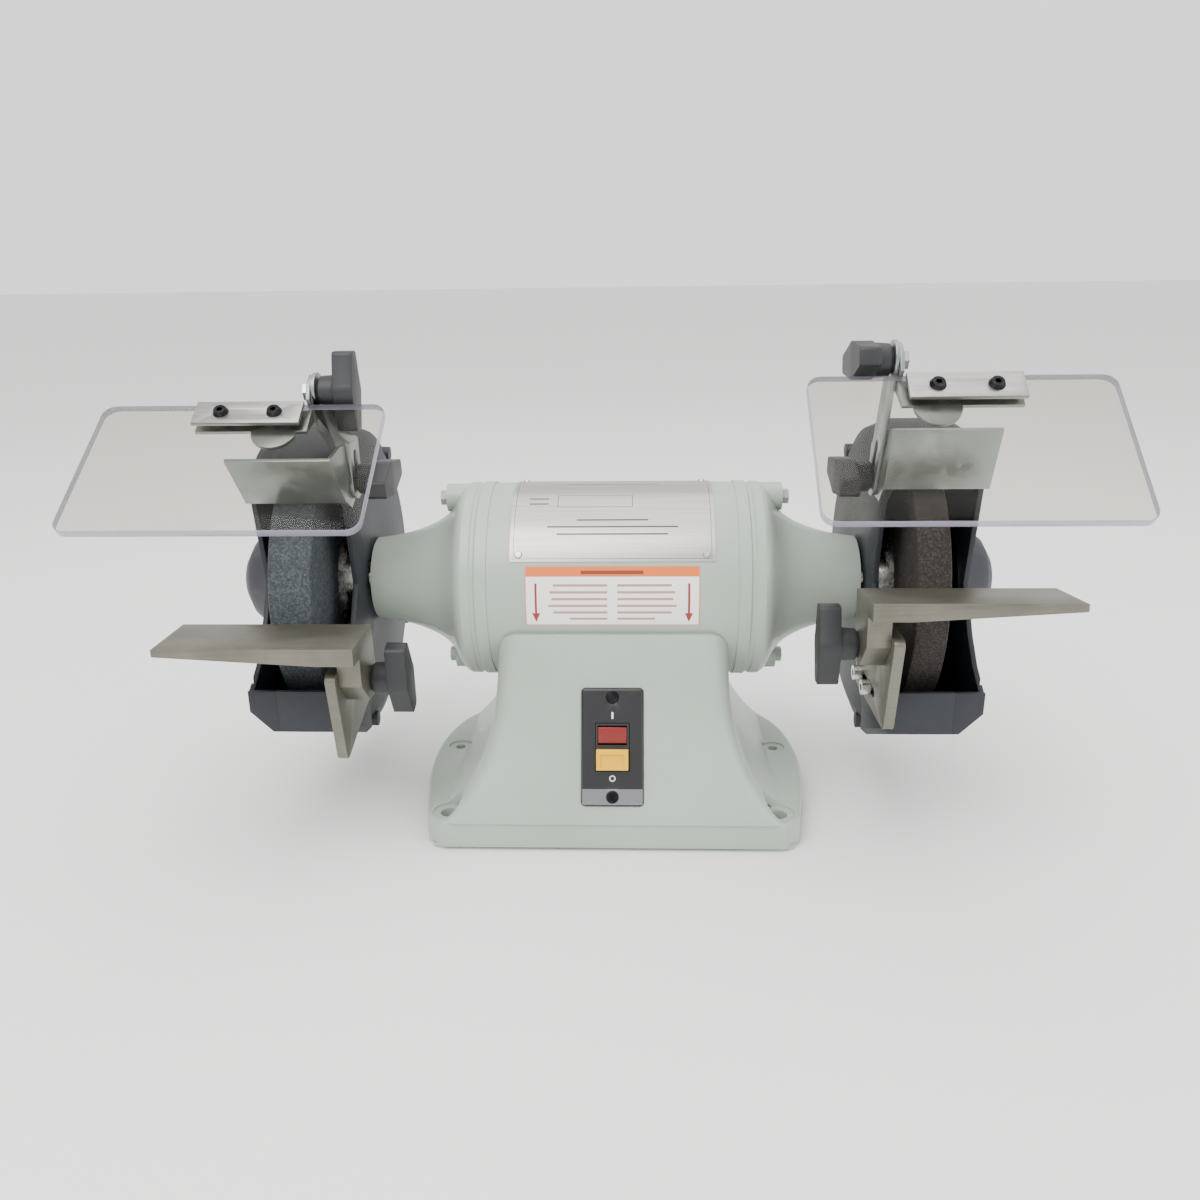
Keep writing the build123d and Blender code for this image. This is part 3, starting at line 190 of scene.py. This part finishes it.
# ---------------------------------------------------------------- clear shields
# Polycarbonate: see-through faces with a warm tint, and grey-violet light gathered at the edges.
clear, shader, place = finish_of("clear_polycarbonate", "F4F1EC", 0.03)
shader.inputs["Transmission Weight"].default_value = 1.0
shader.inputs["IOR"].default_value = 1.05
tree = clear.node_tree
straight = put(clear, "ShaderNodeBsdfTransparent", {"Color": (0.87, 0.86, 0.83, 1)})
gloss = put(clear, "ShaderNodeBsdfGlossy", {"Color": (1, 1, 1, 1), "Roughness": 0.03})
edge_on = put(clear, "ShaderNodeLayerWeight", {"Blend": 0.12})
layers = {0: edge_on.outputs["Fresnel"], 1: straight.outputs[0], 2: gloss.outputs[0]}
face = put(clear, "ShaderNodeMixShader", {}, layers)
tree.links.new(face.outputs[0], tree.nodes["Material Output"].inputs["Surface"])
tree.nodes.remove(shader)
rim_mat, rim_shader, place = finish_of("polycarbonate_edge", "8E899C", 0.2)
rim_shader.inputs["Alpha"].default_value = 0.75
for side in ("left", "right"):
    sheet = frame["nodes"][side + "_shield"]
    sheet.data.materials.clear()
    sheet.data.materials.append(clear)

# ---------------------------------------------------------------- black plastics
# Moulded nylon with a fine spark-eroded grain for knobs, gland and switch body.
nylon, shader, place = finish_of("black_nylon", "1E1F22", 0.5)
tooth = put(nylon, "ShaderNodeTexNoise", {"Scale": 1100.0, "Detail": 2.0}, {"Vector": place})
bump(nylon, shader, tooth.outputs["Fac"], 0.2, 0.0002)
dress(
    nylon, "left_rest_knob", "right_rest_knob", "left_arm_knob", "right_arm_knob",
    "left_shield_knob", "right_shield_knob", "cord_gland", "switch_body",
)

# ---------------------------------------------------------------- switch
# Glossy black plate, red rocker and yellow key.
gloss_black, shader, place = finish_of("gloss_black_plate", "101013", 0.22, coat=0.3)
dress(gloss_black, "switch_plate")
red, shader, place = finish_of("red_plastic", "7A1A12", 0.3)
dress(red, "switch_rocker")
yellow, shader, place = finish_of("yellow_plastic", "E8B000", 0.34)
dress(yellow, "safety_key")

# ---------------------------------------------------------------- abrasive wheels
# Left: coarse grey grit with light and dark grains. Right: fine dark brown grit.
for node, scale, dark, mid, light in (
    ("left_wheel", 900.0, "2E3336", "3C4247", "50575C"),
    ("right_wheel", 1200.0, "1B1817", "2C2725", "453E3A"),
):
    grit, shader, place = finish_of(node + "_abrasive", mid, 0.85)
    grains = put(grit, "ShaderNodeTexVoronoi", {"Scale": scale}, {"Vector": place})
    load = put(grit, "ShaderNodeTexNoise", {"Scale": 60.0, "Detail": 6.0}, {"Vector": place})
    sources = {6: grains.outputs["Color"], 7: load.outputs["Fac"]}
    both = put(grit, "ShaderNodeMix", {"data_type": "RGBA", 0: 0.35}, sources)
    stops = [(0.2, colour(dark)), (0.5, colour(mid)), (0.78, colour(light))]
    join(grit, ramp(grit, both.outputs[2], stops), shader, "Base Color")
    bump(grit, shader, grains.outputs["Distance"], 0.5, 0.0004)
    dress(grit, node)

# ---------------------------------------------------------------- motor inside
# Laminated steel and varnished copper, out of sight in the closed motor.
lamination, shader, place = finish_of("lamination_steel", "5A5C5E", 0.5, metal=0.8)
dress(lamination, "stator_core", "rotor_core")
copper, shader, place = finish_of("varnished_copper", "8E4A28", 0.35, metal=0.6)
dress(copper, "stator_windings")

# ---------------------------------------------------------------- marks drawn by position
# Small printed marks are worked out from where a point lies on its piece, in metres.
def maths(mat, operation, *values):
    node = mat.node_tree.nodes.new("ShaderNodeMath")
    node.operation = operation
    for i, value in enumerate(values):
        if isinstance(value, (int, float)):
            node.inputs[i].default_value = value
        else:
            mat.node_tree.links.new(value, node.inputs[i])
    return node.outputs[0]


def between(mat, value, low, high):
    return maths(mat, "COMPARE", value, (low + high) / 2, (high - low) / 2)


def patch_of(mat, u, v, left, right, low, high):
    return maths(mat, "MULTIPLY", between(mat, u, left, right), between(mat, v, low, high))


def any_of(mat, masks):
    total = masks[0]
    for mask in masks[1:]:
        total = maths(mat, "MAXIMUM", total, mask)
    return total


def paint(mat, under, mask, hex_text):
    node = mat.node_tree.nodes.new("ShaderNodeMix")
    node.data_type = "RGBA"
    mat.node_tree.links.new(mask, node.inputs[0])
    if isinstance(under, str):
        node.inputs[6].default_value = colour(under)
    else:
        mat.node_tree.links.new(under, node.inputs[6])
    node.inputs[7].default_value = colour(hex_text)
    return node.outputs[2]


SPINDLE_HEIGHT = 0.1445
MOTOR_RADIUS = 0.063


def wrap_coordinates(mat, place):
    """Along the motor in metres, and the way round it from the front, also in metres."""
    xyz = put(mat, "ShaderNodeSeparateXYZ", {}, {"Vector": place}).outputs
    up = maths(mat, "SUBTRACT", xyz["Z"], SPINDLE_HEIGHT)
    front = maths(mat, "MULTIPLY", xyz["Y"], -1.0)
    return xyz["X"], maths(mat, "MULTIPLY", maths(mat, "ARCTAN2", up, front), MOTOR_RADIUS)


# ---------------------------------------------------------------- nameplate
# Satin aluminium sheet with a fine border, an empty field and plain grey rules, and no lettering.
plate, shader, place = finish_of("satin_aluminium", "B4AFA9", 0.3, metal=0.9)
u, v = wrap_coordinates(plate, place)
rules = [
    patch_of(plate, u, v, -0.060, 0.060, 0.0292, 0.0295),
    patch_of(plate, u, v, -0.060, 0.060, 0.1085, 0.1088),
    patch_of(plate, u, v, -0.0603, -0.0600, 0.0292, 0.1088),
    patch_of(plate, u, v, 0.0600, 0.0603, 0.0292, 0.1088),
    patch_of(plate, u, v, -0.034, 0.012, 0.0655, 0.0659),
    patch_of(plate, u, v, -0.034, 0.012, 0.0771, 0.0775),
    patch_of(plate, u, v, -0.0344, -0.0340, 0.0655, 0.0775),
    patch_of(plate, u, v, 0.0120, 0.0124, 0.0655, 0.0775),
]
for low, half in ((0.0445, 0.034), (0.0495, 0.040), (0.0545, 0.022), (0.0940, 0.030)):
    rules.append(patch_of(plate, u, v, -half, half, low, low + 0.0011))
for low in (0.068, 0.073):
    rules.append(patch_of(plate, u, v, -0.052, -0.040, low, low + 0.0012))
brush_map = put(plate, "ShaderNodeMapping", {"Scale": (5.0, 800.0, 800.0)}, {"Vector": place})
brush_place = brush_map.outputs["Vector"]
brush = put(plate, "ShaderNodeTexNoise", {"Scale": 3.0, "Detail": 5.0}, {"Vector": brush_place})
ground = ramp(plate, brush.outputs["Fac"], [(0.3, colour("A8A39D")), (0.7, colour("C2BEB8"))])
join(plate, paint(plate, ground, any_of(plate, rules), "4C4A48"), shader, "Base Color")
bump(plate, shader, brush.outputs["Fac"], 0.08, 0.0002)
dress(plate, "nameplate")

# ---------------------------------------------------------------- rotation label
# White film with an orange band, a red-brown arrow down each side, and plain rules for words.
film, shader, place = finish_of("printed_film", "F2F1EC", 0.4)
u, v = wrap_coordinates(film, place)
band = patch_of(film, u, v, -0.060, 0.060, 0.0185, 0.030)
edges = [
    patch_of(film, u, v, -0.060, -0.0524, -0.02, 0.03),
    patch_of(film, u, v, 0.0524, 0.060, -0.02, 0.03),
    patch_of(film, u, v, -0.060, 0.060, -0.02, -0.0116),
]
arrows = []
for x in (-0.0465, 0.0465):
    away = maths(film, "ABSOLUTE", maths(film, "SUBTRACT", u, x))
    shaft_part = patch_of(film, away, v, -0.001, 0.0007, -0.0050, 0.0145)
    slope = maths(film, "MULTIPLY", maths(film, "ADD", v, 0.0100), 0.42)
    inside = maths(film, "LESS_THAN", away, slope)
    arrows += [shaft_part, maths(film, "MULTIPLY", inside, between(film, v, -0.0100, -0.0040))]
rows = []
for i in range(6):
    low = 0.0125 - i * 0.0042
    end = (0.036, 0.038, 0.037, 0.039, 0.036, 0.026)[i]
    for left, right in ((-end, -0.003), (0.003, end)):
        rows.append(patch_of(film, u, v, left, right, low, low + 0.0015))
title = patch_of(film, u, v, -0.019, 0.019, 0.0200, 0.0222)
look = paint(film, "F3F2ED", any_of(film, rows), "B5877B")
look = paint(film, look, band, "E2702C")
look = paint(film, look, title, "7A3A1A")
look = paint(film, look, any_of(film, edges), "D98A5A")
look = paint(film, look, any_of(film, arrows), "8E2A1E")
join(film, look, shader, "Base Color")
dress(film, "rotation_label")

# ---------------------------------------------------------------- switch plate
# Glossy black with a silver strip along its foot and a plain bar and ring by the rocker.
PLATE_Y, PLATE_Z = -0.0884, 0.0630
PLATE_LEAN = math.radians(21)
place = put(gloss_black, "ShaderNodeTexCoord").outputs["Object"]
xyz = put(gloss_black, "ShaderNodeSeparateXYZ", {}, {"Vector": place}).outputs
back = maths(gloss_black, "SUBTRACT", xyz["Y"], PLATE_Y)
back = maths(gloss_black, "MULTIPLY", back, math.sin(PLATE_LEAN))
high = maths(gloss_black, "SUBTRACT", xyz["Z"], PLATE_Z)
high = maths(gloss_black, "MULTIPLY", high, math.cos(PLATE_LEAN))
up = maths(gloss_black, "ADD", back, high)
foot = patch_of(gloss_black, xyz["X"], up, -0.0182, 0.0182, -0.0345, -0.0252)
bar = patch_of(gloss_black, xyz["X"], up, -0.0006, 0.0006, 0.0172, 0.0212)
flat_x = maths(gloss_black, "MULTIPLY", xyz["X"], xyz["X"])
rise = maths(gloss_black, "ADD", up, 0.0188)
flat_up = maths(gloss_black, "MULTIPLY", rise, rise)
radius = maths(gloss_black, "SQRT", maths(gloss_black, "ADD", flat_x, flat_up))
ring = between(gloss_black, radius, 0.0012, 0.0019)
black_shader = gloss_black.node_tree.nodes["Principled BSDF"]
look = paint(gloss_black, "131316", any_of(gloss_black, [bar, ring]), "E8E8E6")
join(gloss_black, paint(gloss_black, look, foot, "8F9094"), black_shader, "Base Color")
join(gloss_black, foot, black_shader, "Metallic")

# ---------------------------------------------------------------- rounded copies
# Real castings, pressings and mouldings have no razor edges. Each piece listed below is copied from its
# solid, cleaned of triangles on flat faces, rounded along its edges, and shown in the solid's place.
body_of_node = {}
for body, names in frame["record"]["behaviour"]["bodies"].items():
    for name in names:
        body_of_node[name] = body


WELD = 0.00001
FLAT_ANGLE = math.radians(0.6)
ROUND_ANGLE = math.radians(34)
CREASE_ANGLE = math.radians(42)


def soften(name, width, segments=2):
    source = frame["nodes"][name]
    mesh = source.data.copy()
    work = bmesh.new()
    work.from_mesh(mesh)
    bmesh.ops.remove_doubles(work, verts=work.verts, dist=WELD)
    bmesh.ops.dissolve_limit(work, angle_limit=FLAT_ANGLE, verts=work.verts, edges=work.edges)
    sharp = [e for e in work.edges if len(e.link_faces) == 2 and e.calc_face_angle() > ROUND_ANGLE]
    bmesh.ops.bevel(
        work, geom=sharp, offset=width, offset_type="OFFSET", segments=segments,
        profile=0.5, affect="EDGES", clamp_overlap=True, material=-1,
    )
    bmesh.ops.triangulate(work, faces=work.faces)
    for face in work.faces:
        face.smooth = True
    work.to_mesh(mesh)
    work.free()
    mesh.set_sharp_from_angle(angle=CREASE_ANGLE)
    shown = bpy.data.objects.new(name + "_shown", mesh)
    bpy.context.collection.objects.link(shown)
    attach(shown, body_of_node[name])
    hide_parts(name)
    return shown


for name, width in (
    ("tool_rest", 0.0008), ("rest_bracket", 0.0006), ("rest_knob", 0.0012), ("arm_knob", 0.0012),
    ("shield_knob", 0.0012), ("shield_arm", 0.0003), ("spark_arrestor", 0.0003),
    ("shield_bracket", 0.0003), ("shield_clamp", 0.0003),
):
    soften("left_" + name, width)
    soften("right_" + name, width)
for name, width in (("switch_plate", 0.0003), ("switch_rocker", 0.0005), ("safety_key", 0.0006)):
    soften(name, width)
for name in ("left_guard", "right_guard", "left_guard_cover", "right_guard_cover"):
    soften(name, 0.0005)
soften("base", 0.0022, 3)

# The edges of each shield take the edge material; a face square to the sheet is not an edge.
for side, slope in (("left", 35.5), ("right", 41.6)):
    sheet = soften(side + "_shield", 0.0004)
    sheet.data.materials.append(rim_mat)
    flat = Vector((0, -math.sin(math.radians(slope)), math.cos(math.radians(slope))))
    for face in sheet.data.polygons:
        if abs(face.normal.dot(flat)) < 0.97:
            face.material_index = 1

# ---------------------------------------------------------------- floor, light and camera
# Wide pale floor under an even white surround, a large soft light above and two weaker fills.
bpy.ops.mesh.primitive_plane_add(size=60, location=(0, 0, 0))
floor = bpy.context.object
floor.name = "floor"
paper, shader, place = finish_of("pale_paper", "F4F4F2", 0.9)
floor.data.materials.append(paper)
world = bpy.data.worlds.new("studio")
bpy.context.scene.world = world
world.use_nodes = True
world.node_tree.nodes["Background"].inputs["Color"].default_value = (1, 1, 1, 1)
backdrop = world.node_tree.nodes["Background"]
SURROUND_LIGHT = 1.35
SURROUND_SEEN = 1.5
seen = world.node_tree.nodes.new("ShaderNodeLightPath")
lift = world.node_tree.nodes.new("ShaderNodeMapRange")
lift.inputs["To Min"].default_value = SURROUND_LIGHT
lift.inputs["To Max"].default_value = SURROUND_SEEN
world.node_tree.links.new(seen.outputs["Is Camera Ray"], lift.inputs["Value"])
world.node_tree.links.new(lift.outputs["Result"], backdrop.inputs["Strength"])
for name, where, turn, area, power in (
    ("key", (-0.5, -0.9, 1.5), (38, 0, -28), 1.2, 26),
    ("top", (0.3, 0.3, 1.6), (0, 0, 0), 1.6, 14),
    ("fill", (1.4, -0.8, 0.7), (66, 0, 62), 1.0, 7),
):
    lamp = bpy.data.lights.new(name, "AREA")
    lamp.size = area
    lamp.energy = power
    rig = bpy.data.objects.new(name, lamp)
    rig.location = where
    rig.rotation_euler = [math.radians(a) for a in turn]
    bpy.context.collection.objects.link(rig)

eye = bpy.data.cameras.new("camera")
eye.lens = 30
eye.sensor_width = 36
camera = bpy.data.objects.new("camera", eye)
camera.location = (0.015, -0.639, 0.3361)
camera.rotation_euler = (math.radians(72), math.radians(0.7), math.radians(2.0))
bpy.context.collection.objects.link(camera)
bpy.context.scene.camera = camera
